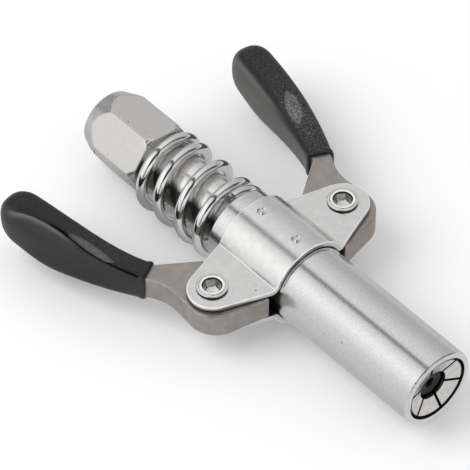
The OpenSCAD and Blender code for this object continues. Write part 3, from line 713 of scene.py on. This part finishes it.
def bent_plate(edge):
    """A yoke plate: blanked flat, its edges rounded, then bent over the sleeve."""
    section = PlateSection()
    bm = bmesh.new()
    outline = section.outline()
    root = abs(outline[0].y)
    top = bm.faces.new([bm.verts.new((p.x, p.y, 0)) for p in outline])
    base = bmesh.ops.extrude_face_region(bm, geom=[top])
    for vert in (v for v in base["geom"] if isinstance(v, bmesh.types.BMVert)):
        vert.co.z = -section.thickness
    corners = [e for e in bm.edges if abs(e.verts[0].co.z - e.verts[1].co.z) > 1
               and abs(abs(e.verts[0].co.y) - root) < 0.01]
    bmesh.ops.bevel(
        bm, geom=corners, offset=section.corner_r, segments=5, profile=0.5, affect="EDGES")
    for level, width in ((0, edge / MM), (-section.thickness, 2 * edge / MM)):
        rim = [e for e in bm.edges if all(abs(v.co.z - level) < 0.01 for v in e.verts)]
        bmesh.ops.bevel(bm, geom=rim, offset=width, segments=3, profile=0.5, affect="EDGES")
    bm.normal_update()
    shade_depth, highlight_depth, flat = -0.75, -0.3, 0.98  # depths as shares of the sheet, and a level face
    for face in bm.faces:  # painted highlight along the upper edge, painted shade along the lower one
        middle = face.calc_center_median().z / section.thickness
        if middle < shade_depth:
            face.material_index = 2
        elif abs(face.normal.z) < flat and middle > highlight_depth:
            face.material_index = 1
    arch_steps, bend_steps = 28, 8
    cuts = [section.arch_end * i / arch_steps for i in range(arch_steps)]
    cuts += [section.arch_end + (section.bend_end - section.arch_end) * i / bend_steps
             for i in range(bend_steps + 1)]
    for run in sorted({c * s for c in cuts for s in (-1, 1)}):
        bmesh.ops.bisect_plane(bm, geom=bm.verts[:] + bm.edges[:] + bm.faces[:],
                               plane_co=(0, run, 0), plane_no=(0, 1, 0), dist=1e-5)
    for vert in bm.verts:
        y, z = section.point(vert.co.y, vert.co.z)
        vert.co = (PIVOT.x + vert.co.x * MM, y * MM, z * MM)
    bmesh.ops.recalc_face_normals(bm, faces=bm.faces)
    return bm


def plate_punches():
    """Tools for a plate: two with a V-shaped ring, over the arch, and two for rivet holes."""
    stake = ((9.7, 0.2, 0), (8.98, 0.28, 0), (8.72, 0.6, 0), (8.76, 0.75, 0), (9.7, 1.42, 0))
    hole = ((2.0, 0, 0), (2.0, 2.3, 0), (5.0, 2.3, 0), (5.0, 0, 0))
    rows = ((stake, -4.5 * MM, 0), (stake, 5.0 * MM, 0), (hole, 0, PIVOT.y), (hole, 0, -PIVOT.y))
    return [lathe(profile, 40, lambda a, u, v: (PIVOT.x + ahead + u, aside + v, a))
            for profile, ahead, aside in rows]


class COUPLER_OT_plates(bpy.types.Operator):
    """Presses the two yoke plates, punches their rivet holes and stakes them to the sleeve"""

    bl_idname = "coupler.plates"
    bl_label = "Yoke plates"

    def execute(self, context):
        for name, up in (("upper", 1), ("lower", -1)):
            bm = bent_plate(context.scene.coupler_sizes.plate_edge)
            piece = settle(name + "_yoke_plate", bm,
                           ("satin_plated_sheet", "painted_highlight_metal", "painted_shade_steel"),
                           "sleeve", "plate_steel", name + "_plate")
            punches = [stand("punch", bm) for bm in plate_punches()]
            for punch in punches:
                cut = piece.modifiers.new("Punch", "BOOLEAN")
                cut.operation, cut.solver, cut.object = "DIFFERENCE", "EXACT", punch
            bake(piece)
            for punch in punches:
                bpy.data.objects.remove(punch)
            if up < 0:
                for vert in piece.data.vertices:
                    vert.co.z = -vert.co.z
                piece.data.flip_normals()
            piece.data.set_sharp_from_angle(angle=math.radians(38))
            piece.modifiers.new("Flat faces", "WEIGHTED_NORMAL").keep_sharp = True
        return {"FINISHED"}


# ---------------------------------------------------------------- rivets, levers and grips


RIVET_FINISHES = (
    "bright_nickel_rivet", "painted_shade_steel", "painted_highlight_metal", "drawn_rivet_bore")


def rivet_finish(face):
    """1 for a rivet's faces under its rim and at the top of its bore, dark steel as painted shade,
    2 for the painted highlight on its crest and floor, 3 for its bore.
    """
    middle = face.calc_center_median()
    radius = math.hypot(middle.x - PIVOT.x, abs(middle.y) - PIVOT.y) / MM
    height = middle.z / MM
    floor_low, floor_high, under_rim, mouth, crest = 2.4, 2.75, 4.17, 4.2, 4.4
    mouth_radius, crest_radius = 2.2, 2.35
    if height > crest and radius < crest_radius or floor_low < height < floor_high:
        return 2
    if radius > mouth_radius:
        return int(abs(height) < under_rim)
    return 0 if height < floor_low else 1 if height > mouth else 3


class COUPLER_OT_rivets(bpy.types.Operator):
    """Turns the two hollow rivets with their rolled and crimped rims"""

    bl_idname = "coupler.rivets"
    bl_label = "Rivets"

    def execute(self, context):
        profile = (
            # height, radius and crimp in mm, from the lower pole to the upper
            (-4.5, 0, 0), (-4.5, 1.6, 0), (-4.5, 2.5, 0), (-4.42, 2.82, 0), (-4.2, 3.02, 0),
            (-3.98, 3.02, 0), (-3.86, 2.9, 0), (-3.86, 2.28, 0), (3.86, 2.28, 0), (3.86, 2.5, 0),
            (4.14, 2.56, 0), (4.16, 2.95, 0), (4.2, 3.02, 0), (4.27, 3.04, 0), (4.34, 2.99, 0),
            (4.39, 2.88, 0), (4.4, 2.74, 0), (4.38, 2.64, 0), (4.42, 2.56, 0), (4.48, 2.47, 0),
            (4.53, 2.35, 0), (4.55, 2.2, 0), (4.53, 2.06, 0), (4.46, 1.94, 0.01),
            (4.34, 1.85, 0.02), (4.1, 1.78, 0.03), (3.7, 1.66, 0.05), (3.2, 1.48, 0.05),
            (2.9, 1.34, 0.04), (2.75, 1.2, 0.02), (2.65, 0.8, 0), (2.45, 0, 0))
        for side, sign in SIDES:
            bm = lathe(profile, 72, lambda a, u, v: (PIVOT.x + u, sign * PIVOT.y + v, a))
            settle(side + "_rolled_rivet", bm, RIVET_FINISHES,
                   "sleeve", "rivet_nickel", side + "_rivet", pick=rivet_finish)
        return {"FINISHED"}


class COUPLER_OT_levers(bpy.types.Operator):
    """Tumbles the edges of the two sintered levers, which are worn bright there"""

    bl_idname = "coupler.levers"
    bl_label = "Levers"

    def execute(self, context):
        for side, _ in SIDES:
            piece = settle(side + "_sintered_lever", cad_copy(side + "_lever"),
                           ("sintered_lever_steel", "worn_lever_edge"),
                           side + "_handle", "lever_steel", side + "_lever")
            break_edges(piece, context.scene.coupler_sizes.lever_edge, 40, worn=1)
        return {"FINISHED"}


class GripPath:
    """The curve that a grip is swept along, from the pivot, and its section (lengths in mm)."""

    start, end = Vector((-11.6, 5.45)), Vector((-44.1, 13.8))
    lead_in, lead_out = 11.5, 10.0
    angle_in, angle_out = math.radians(27), math.radians(10)
    neck_w, neck_h = 2.75, 3.35  # half width and half thickness at the neck
    swell_w, swell_h = 1.75, 1.85  # what they gain toward the tip
    slim = 0.945
    belly_h, belly_at, belly_long = 0.36, 0.62, 0.17
    lip_h, lip_long = 0.25, 0.032
    tip_from = 0.83

    def __init__(self, reach):
        ahead = Vector((-math.cos(self.angle_in), math.sin(self.angle_in)))
        back = Vector((math.cos(self.angle_out), -math.sin(self.angle_out)))
        tip = self.end - reach * back
        self.knots = (
            self.start, self.start + self.lead_in * ahead, tip + self.lead_out * back, tip)

    def place(self, t):
        """Point on the curve and the unit vector across it."""
        a, b, c, d = self.knots
        s = 1 - t
        point = s ** 3 * a + 3 * t * s * s * b + 3 * t * t * s * c + t ** 3 * d
        slope = s * s * (b - a) + 2 * s * t * (c - b) + t * t * (d - c)
        return point, Vector((slope.y, -slope.x)).normalized()

    def section(self, t):
        """Half width, half thickness and mid height of the grip at t."""
        swell = 0.5 * ease(0, 0.8, t) + 0.5 * math.sin(math.pi / 2 * min(1, t / 0.79))
        round_off = max(0.0, (t - self.tip_from) / (1 - self.tip_from))
        share = self.slim * max(0.0, 1 - round_off ** 2.2) ** 0.48
        belly = self.belly_h * math.exp(-((t - self.belly_at) / self.belly_long) ** 2)
        lip = self.lip_h * math.exp(-(t / self.lip_long) ** 4)
        width = self.neck_w + self.swell_w * swell + lip
        thick = self.neck_h + self.swell_h * swell + lip
        rise = t * t - 0.5 * math.sin(math.pi * t)
        return width * share, thick * share + belly, rise - belly

    def square(self, t):
        """Exponent of the section: boxy at the neck, round at the tip."""
        return 3.8 - 1.2 * ease(0.35, 1.0, t)


def ease(low, high, value):
    """Smooth step from 0 at low to 1 at high."""
    share = min(1.0, max(0.0, (value - low) / (high - low)))
    return share * share * (3 - 2 * share)


def grip_mesh(sign, first, reach, recess, edge, groove_marking, sizes):
    """A dipped grip: a boxy bar with a lipped mouth from `first` on its path, which ends `reach` mm
    further out, a crown that ends at `edge`, rows of (place, share of the half width), a groove
    painted dark as shade and a soft ridge with a painted highlight, both as marked as
    `groove_marking` says, and a thumb recess: its place, shift, half length and half width in mm,
    and its slant."""
    path = GripPath(reach)
    bm = bmesh.new()
    layers = [bm.verts.layers.float.new(name)
              for name in ("recess", "crown", "dust", "painted_highlight", "groove")]
    around, stations = 240, 220
    deep, crest, cut = sizes.recess_depth / MM, sizes.crest / MM, sizes.groove_depth / MM * groove_marking
    span = (path.end - path.start).length
    at, shift, half_long, half_wide, slant = recess
    outer = math.copysign(1, edge[0][1])
    soft = 1 - groove_marking
    groove_wide, ridge_at, ridge_wide = 0.38, 0.95, 0.42  # across the grip, from the crown's end
    socket_w, socket_h, socket_power = 2.3, 2.85, 7  # the hole in the mouth, around the lever
    shade_from = 0.72

    def crown_end(t):
        for (near, low), (far, high) in zip(edge, edge[1:]):
            if t <= far:
                return outer * (low + (high - low) * (t - near) / (far - near))
        return outer * edge[-1][1]

    def put(spot, height):
        return bm.verts.new((PIVOT.x + spot.x * MM, sign * (PIVOT.y + spot.y * MM), height * MM))

    def ring(t, width, thick, mid, power, carve):
        point, across = path.place(t)
        limit = crown_end(t)
        corners = []
        for i in range(around):
            turn = math.tau * i / around
            u, v = math.cos(turn), math.sin(turn)
            out = (abs(u) ** power + abs(v) ** power) ** (-1 / power)
            u, v = u * out, v * out
            past = (outer * u - limit) * width
            top = ease(0.5, 0.8, v)
            fade = ease(0.015, 0.045, t) * ease(0.93, 0.8, t)
            groove = top * fade * math.exp(-(past / groove_wide) ** 2)
            ridge = top * fade * ease(0.38, 0.6, t)
            ridge *= math.exp(-((past - ridge_at) / ridge_wide) ** 2)
            height = thick * v
            sink = 0.0
            if carve:
                along = (t - at) * span
                side = u * width - (shift + slant * along) * (v > 0)
                inside = half_wide * (1 - abs(along / half_long) ** 2.4) - abs(side)
                sink = ease(-0.06, 0.2, inside) * ease(0.5, 0.8, abs(v))
                round_off = top * fade * 0.07 * max(0.0, past - 0.9) ** 2
                sunk = cut * groove * (0.3 + 0.7 * ease(0.15, 0.45, t))
                sunk *= 1 - 0.4 * ease(0.55, 0.75, t)
                height += crest * ridge - sunk - round_off - math.copysign(deep * sink, v)
            vert = put(point + across * (u * width), mid + height)
            crown = ease(0.12 + soft, -0.12, past) * ease(-0.95, -0.8, outer * u)
            crown *= ease(0.6 - 0.4 * soft, 0.85, abs(v)) * ease(0.97, 0.88, t)
            dusty = crown * ease(-0.1, -1.0, past)
            dusty *= 0.3 + 0.7 * math.exp(-((t - 0.3) / 0.22) ** 2)
            # painted shade darkens the groove, and a painted highlight lights the ridge and one
            # flank of the left grip
            groove_shade = groove * groove_marking * ease(0.76, 0.58, t)
            highlight_share = ridge * groove_marking + 0.88 * soft * ease(0.2, 0.7, outer * u)
            for layer, value in zip(layers, (sink, crown, dusty, highlight_share, groove_shade)):
                vert[layer] = value
            corners.append(vert)
        return corners

    lip_w, lip_h, mid = path.section(0)
    rings = [[put(path.place(first + 0.06)[0], 0)]]
    for t in (0.05, 0.004):
        rings.append(ring(first + t, socket_w, socket_h, mid, socket_power, False))
    for t, inset in ((0.0, 0.62), (0.0, 0.3), (0.003, 0.12), (0.009, 0.02)):
        rings.append(ring(first + t, lip_w - inset, lip_h - inset, mid, path.square(0), False))
    for i in range(1, stations):
        t = 0.015 + 0.985 * math.sin(math.pi / 2 * i / stations)
        rings.append(ring(first + (1 - first) * t, *path.section(t), path.square(t), True))
    rings.append([put(path.place(1)[0], path.section(1)[2])])
    skin(bm, rings)
    # faces deep in the groove's painted shade take the dark groove rubber
    for face in bm.faces:
        shade_share = sum(vert[layers[-1]] for vert in face.verts) / len(face.verts)
        face.material_index = int(shade_share > shade_from)
    return bm


class COUPLER_OT_grips(bpy.types.Operator):
    """Dips the two rubber grips"""

    bl_idname = "coupler.grips"
    bl_label = "Grips"

    def execute(self, context):
        rows = (
            # side, sign, start of the rubber, added reach, recess, end of the crown, how marked the
            # groove, its painted shade and the ridge's painted highlight are
            ("left", 1, 0.03, 0.15, (0.4, -0.25, 4.4, 1.6, 0.2), (
                (0, -0.9), (0.17, -0.88), (0.3, -0.84), (0.42, -0.76), (0.55, -0.67), (0.7, -0.62),
                (1, -0.6)), 0.15),
            ("right", -1, 0.0, -0.3, (0.35, 0.8, 5.5, 1.0, -0.1), (
                (0, 0.8), (0.12, 0.68), (0.2, 0.62), (0.3, 0.51), (0.4, 0.35), (0.47, 0.23),
                (0.54, 0.17), (0.63, 0.18), (0.72, 0.27), (0.78, 0.39), (0.84, 0.54),
                (1, 0.7)), 1.0),
        )
        for side, sign, *shape in rows:
            settle(side + "_dipped_grip", grip_mesh(sign, *shape, context.scene.coupler_sizes),
                   ("dipped_black_rubber", "groove_shade_rubber"), side + "_handle", "grip_rubber",
                   side + "_grip")
        return {"FINISHED"}


# ---------------------------------------------------------------- nose and insides


class COUPLER_OT_jaws(bpy.types.Operator):
    """Stones the edges of the six jaws and draws their front rims out toward the mouth"""

    bl_idname = "coupler.jaws"
    bl_label = "Jaws"

    def execute(self, context):
        lip, rim, rim_radius, drawn_out = 1.1 * MM, 0.5 * MM, 5.7 * MM, 0.28 * MM
        for node in sorted(n for n in frame["nodes"] if n.startswith("jaw_") and n != "jaw_ring"):
            bm = cad_copy(node)
            front = max(vert.co.x for vert in bm.verts)
            bmesh.ops.bisect_plane(bm, geom=bm.verts[:] + bm.edges[:] + bm.faces[:],
                                   plane_co=(front - lip, 0, 0), plane_no=(1, 0, 0), dist=1e-7)
            for vert in bm.verts:
                radius = math.hypot(vert.co.y, vert.co.z)
                if vert.co.x > front - rim and radius > rim_radius:
                    vert.co.y *= 1 + drawn_out / radius
                    vert.co.z *= 1 + drawn_out / radius
            # the inner faces and the stoned edges of a jaw take the dark steel of a painted shade
            piece = settle("hardened_" + node, bm, ("hardened_jaw_steel", "painted_shade_steel"),
                           node, "jaw_steel", node, pick=faces_inside)
            break_edges(piece, context.scene.coupler_sizes.jaw_edge, 24, worn=1)
        return {"FINISHED"}


class COUPLER_OT_seal(bpy.types.Operator):
    """Moulds the nozzle seal with a raised nose and a ring round its hole"""

    bl_idname = "coupler.seal"
    bl_label = "Nozzle seal"

    def execute(self, context):
        low, high = SEAL_BOX
        rear, shoulder = low.x / MM, high.x / MM
        step, face = shoulder - 2.25, shoulder + 0.6
        profile = (
            (rear, 1.9), (rear, 3.25), (shoulder - 0.2, 3.28), (shoulder - 0.03, 3.15),
            (shoulder, 2.92), (face - 0.25, 2.86), (face - 0.07, 2.74), (face, 2.52),
            (face - 0.02, 2.3), (face - 0.14, 2.08), (face - 0.16, 1.8), (face - 0.06, 1.58),
            (face, 1.36), (face - 0.05, 1.15), (face - 0.22, 1.0), (face - 0.5, 0.95),
            (step, 0.95), (step, 1.9))
        bm = lathe([row + (0,) for row in profile], 64, lambda a, u, v: (a, u, v))
        settle("moulded_seal", bm, ("moulded_nitrile_rubber",),
               "seal", "seal_rubber", "nozzle_seal")
        return {"FINISHED"}


class COUPLER_OT_insides(bpy.types.Operator):
    """Finishes the pieces inside that keep their solids"""

    bl_idname = "coupler.insides"
    bl_label = "Insides"

    def execute(self, context):
        for node, name in (
                ("jaw_ring", "bright_plated_wire"), ("spring_seat", "turned_brass"),
                ("seal_piston", "turned_brass"), ("piston_ring", "moulded_nitrile_rubber"),
                ("check_ball", "polished_ball_steel")):
            dress(node, name)
        return {"FINISHED"}


# ---------------------------------------------------------------- stage


class COUPLER_OT_stage(bpy.types.Operator):
    """Sets the camera, the white floor, the soft light and the tent that the metal mirrors"""

    bl_idname = "coupler.stage"
    bl_label = "Stage"

    floor_half, tent_radius, card_radius = 4.0, 1.5, 1.2
    card_under, floor_under = 10 * MICRON, 20 * MICRON  # below the lowest piece
    # brightness of the tent by the angle about X, in degrees from +Y over the top to -Y
    tent_levels = (
        (-22, 0.53), (18, 0.5), (40, 0.59), (58, 0.72), (78, 0.82), (90, 0.86), (95, 0.14),
        (100, 0.14), (106, 0.78), (118, 0.9), (132, 1.1), (144, 1.1), (164, 0.92), (179, 0.77),
        (199, 0.73), (262, 0.56))
    # share of it by the way along X: the tent is open, and dark, at both ends
    end_levels = (
        (-1, 0.5), (-0.88, 0.6), (-0.72, 1), (0.2, 1), (0.44, 0.1), (0.56, 0.1), (0.64, 0.8),
        (1, 0.9))
    # brightness of the card by the distance across in mm, and ahead of the nose
    card_levels = (
        (-200, 0.78), (-60, 0.74), (-35, 0.7), (-19, 0.66), (-12, 0.58), (0, 0.46), (14, 0.54),
        (60, 0.6))
    card_ahead = (0.74, 0.74, 0.74, 1)
    # a darker patch of it under the spring: axis, where it ends and where it is full, in mm
    card_patch = (("Y", 6, -3), ("Y", -50, -35), ("X", 42, 28), ("X", 4, 14))

    def execute(self, context):
        scene = context.scene
        stage = scene.coupler_stage
        scene.view_settings.view_transform = "Standard"
        lens = bpy.data.cameras.new("camera")
        lens.lens, lens.sensor_width = stage.camera_lens, 36.0
        camera = bpy.data.objects.new("camera", lens)
        camera.location = stage.camera_place
        camera.rotation_euler = (math.pi / 2 - stage.camera_elevation, 0, stage.camera_azimuth)
        scene.collection.objects.link(camera)
        scene.camera = camera
        self.floor()
        self.tent(stage)
        self.card()
        self.lamp(scene, stage)
        self.sky(scene, stage)
        return {"FINISHED"}

    def put(self, name, bm, material, mirrored_only=False):
        """Makes a piece of the stage; one that is mirrored only lights nothing and shows in
        reflections alone."""
        board = stand(name, bm)
        board.data.materials.append(material)
        if mirrored_only:
            board.visible_camera = board.visible_diffuse = board.visible_transmission = False
            board.visible_shadow = board.visible_volume_scatter = False

    def floor(self):
        """A wide matte white board under the lower plate."""
        bm = bmesh.new()
        bmesh.ops.create_grid(bm, x_segments=1, y_segments=1, size=self.floor_half)
        bmesh.ops.translate(bm, verts=bm.verts, vec=(0, 0, CAD_BOX[0][2] - self.floor_under))
        made, tree, place = new_material("matte_white_board")
        fibre = add(tree, "ShaderNodeTexNoise", (place, 1 / (40 * MM)))
        tone = add(tree, "ShaderNodeMix", (
            fibre, colour("#FAFAFA"), colour("#FCFCFC")), data_type="RGBA")
        cover(tree, "ShaderNodeBsdfPrincipled", {
            "Base Color": tone, "Roughness": 0.9, "Specular IOR Level": 0.0})
        self.put("floor", bm, made)

    def tent(self, stage):
        """A dome that metal mirrors: soft panels, a dark seam and the dark round the lens."""
        bm = bmesh.new()
        bmesh.ops.create_uvsphere(bm, u_segments=48, v_segments=24, radius=self.tent_radius)
        made, tree, place = new_material("tent_panels")
        aim = add(tree, "ShaderNodeVectorMath", (place,), operation="NORMALIZE")
        parts = add(tree, "ShaderNodeSeparateXYZ", (aim,)).outputs
        back = add(tree, "ShaderNodeMath", (parts["Y"], -1.0), operation="MULTIPLY")
        angle = add(tree, "ShaderNodeMath", (back, parts["Z"]), operation="ARCTAN2")
        share = add(tree, "ShaderNodeMapRange", (angle, -math.pi, math.pi))
        panels = add(tree, "ShaderNodeValToRGB", (share,), [
            ((degrees + 90) / 360, level) for degrees, level in self.tent_levels])
        way = add(tree, "ShaderNodeMapRange", (parts["X"], -1.0, 1.0))
        ends = add(tree, "ShaderNodeValToRGB", (way,), [
            ((x + 1) / 2, level) for x, level in self.end_levels])
        tone = add(tree, "ShaderNodeMix", (
            1.0, panels, ends), data_type="RGBA", blend_type="MULTIPLY")
        toward = add(tree, "ShaderNodeVectorMath", (
            aim, Vector(stage.camera_place).normalized()), operation="DOT_PRODUCT")
        shade = add(tree, "ShaderNodeMapRange", (
            toward, 0.9, 0.97, 1.0, 0.15), interpolation_type="SMOOTHSTEP")
        cover(tree, "ShaderNodeEmission", {"Color": tone, "Strength": shade})
        self.put("tent", bm, made, mirrored_only=True)

    def card(self):
        """A grey card on the board that metal mirrors, which keeps its under side dark."""
        bm = bmesh.new()
        bmesh.ops.create_circle(bm, cap_ends=True, segments=64, radius=self.card_radius)
        bmesh.ops.translate(bm, verts=bm.verts, vec=(0, 0, CAD_BOX[0][2] - self.card_under))
        made, tree, place = new_material("grey_card")
        parts = add(tree, "ShaderNodeSeparateXYZ", (place,)).outputs
        reach, nose, patch_dark = 0.4, CAD_BOX[1][0], 0.5
        share = add(tree, "ShaderNodeMapRange", (parts["Y"], -reach / 2, reach / 2))
        across = add(tree, "ShaderNodeValToRGB", (share,), [
            (y * MM / reach + 0.5, level) for y, level in self.card_levels])
        ahead = add(tree, "ShaderNodeMapRange", (parts["X"], nose - 5 * MM, nose))
        tone = add(tree, "ShaderNodeMix", (ahead, across, self.card_ahead), data_type="RGBA")
        dark = patch_dark
        for axis, end, full in self.card_patch:
            dark = add(tree, "ShaderNodeMapRange", (parts[axis], end * MM, full * MM, 0.0, dark))
        strength = add(tree, "ShaderNodeMath", (1.0, dark), operation="SUBTRACT")
        cover(tree, "ShaderNodeEmission", {"Color": tone, "Strength": strength})
        self.put("card", bm, made, mirrored_only=True)

    def lamp(self, scene, stage):
        """One large soft light from the left of the picture; the metal mirrors the tent instead."""
        lamp = bpy.data.lights.new("key", "AREA")
        lamp.shape, lamp.size, lamp.energy = "DISK", 0.8, stage.key_power
        key = bpy.data.objects.new("key", lamp)
        direction = Vector((-0.35, -0.6, 0.8)).normalized()
        distance, middle = 0.9, Vector((0.045, 0, 0))
        key.location = direction * distance + middle
        key.rotation_euler = direction.to_track_quat("Z", "Y").to_euler()
        key.visible_glossy = False
        scene.collection.objects.link(key)

    def sky(self, scene, stage):
        """Even light all round, and plain white where it is seen or mirrored."""
        world = bpy.data.worlds.new("white_room")
        scene.world = world
        world.use_nodes = True
        tree = world.node_tree
        tree.nodes.clear()
        rays = add(tree, "ShaderNodeLightPath").outputs
        seen = rays["Is Camera Ray"]
        for ray in ("Is Glossy Ray", "Is Transmission Ray"):
            seen = add(tree, "ShaderNodeMath", (seen, rays[ray]), operation="MAXIMUM")
        level = add(tree, "ShaderNodeMapRange", (seen, 0.0, 1.0, stage.sky_level, 1.0))
        sky = add(tree, "ShaderNodeBackground", {"Color": (1, 1, 1, 1), "Strength": level})
        add(tree, "ShaderNodeOutputWorld", {"Surface": sky})


# ---------------------------------------------------------------- add-on


STEPS = (
    COUPLER_OT_inlet, COUPLER_OT_springs, COUPLER_OT_sleeve, COUPLER_OT_plates,
    COUPLER_OT_rivets, COUPLER_OT_levers, COUPLER_OT_grips, COUPLER_OT_jaws, COUPLER_OT_seal,
    COUPLER_OT_insides, COUPLER_OT_stage)


class COUPLER_PT_panel(bpy.types.Panel):
    """The steps and settings of the coupler, in the 3D view's sidebar"""

    bl_idname = "COUPLER_PT_panel"
    bl_label = "Grease coupler"
    bl_space_type = "VIEW_3D"
    bl_region_type = "UI"
    bl_category = "Coupler"

    def draw(self, context):
        scene = context.scene
        for group in (scene.coupler_colours, scene.coupler_sizes, scene.coupler_stage):
            box = self.layout.box()
            for name in group.__annotations__:
                box.prop(group, name)
        for step in STEPS:
            self.layout.operator(step.bl_idname)


CLASSES = (CouplerColours, CouplerSizes, CouplerStage) + STEPS + (COUPLER_PT_panel,)


def register():
    for each in CLASSES:
        bpy.utils.register_class(each)
    bpy.types.Scene.coupler_colours = bpy.props.PointerProperty(type=CouplerColours)
    bpy.types.Scene.coupler_sizes = bpy.props.PointerProperty(type=CouplerSizes)
    bpy.types.Scene.coupler_stage = bpy.props.PointerProperty(type=CouplerStage)


def unregister():
    del bpy.types.Scene.coupler_stage
    del bpy.types.Scene.coupler_sizes
    del bpy.types.Scene.coupler_colours
    for each in reversed(CLASSES):
        bpy.utils.unregister_class(each)


def main():
    register()
    for step in STEPS:
        group, name = step.bl_idname.split(".")
        getattr(getattr(bpy.ops, group), name)()
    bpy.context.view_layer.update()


if __name__ == "__main__":
    main()
